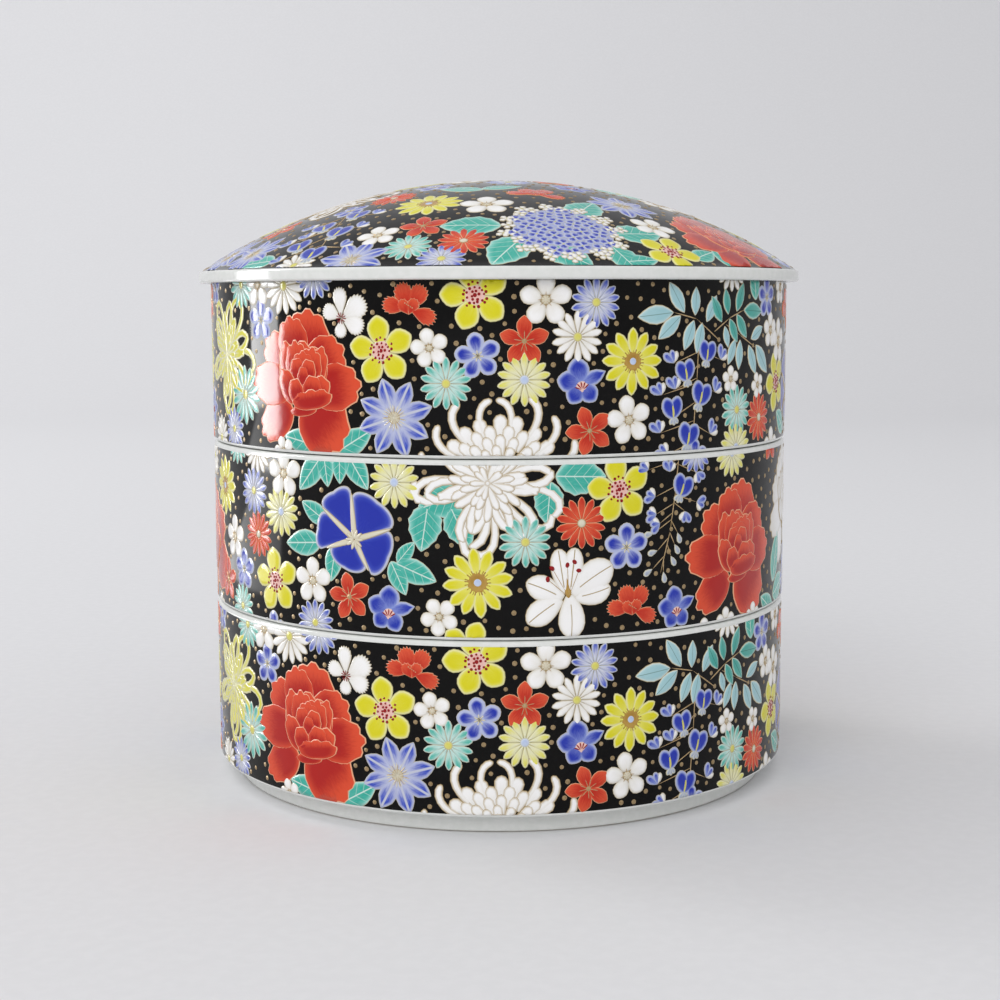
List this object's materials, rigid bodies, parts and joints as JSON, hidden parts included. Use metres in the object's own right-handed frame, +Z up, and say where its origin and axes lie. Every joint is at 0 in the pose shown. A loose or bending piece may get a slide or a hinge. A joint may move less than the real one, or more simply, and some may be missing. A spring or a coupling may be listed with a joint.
{
  "type": "tiered bento box",
  "caption": "Round tiered food box in glazed porcelain: stacking tiers with nested foot rings under a domed lid, black ground with flowers in raised enamel.",
  "frame": {"origin": "on the table under the middle of the lowest tier's foot ring", "axes": "+Z up along the stack's axis of symmetry; -Y faces the viewer of the picture, with +X to the right"},
  "size_m": [0.1876, 0.1876, 0.1845],
  "materials": {
    "tier_glaze": "white porcelain under clear glaze, with a glossy black enamel band and flowers in raised red, blue, yellow, turquoise and white enamel with matte gold lines",
    "lid_glaze": "white porcelain under clear glaze, with a glossy black enamel dome, the same flowers and a plain white edge band"
  },
  "bodies": {
    "root": {"tier_bottom": "tier_glaze", "tier_middle": "tier_glaze", "tier_top": "tier_glaze", "lid": "lid_glaze"}
  },
  "joints": []
}
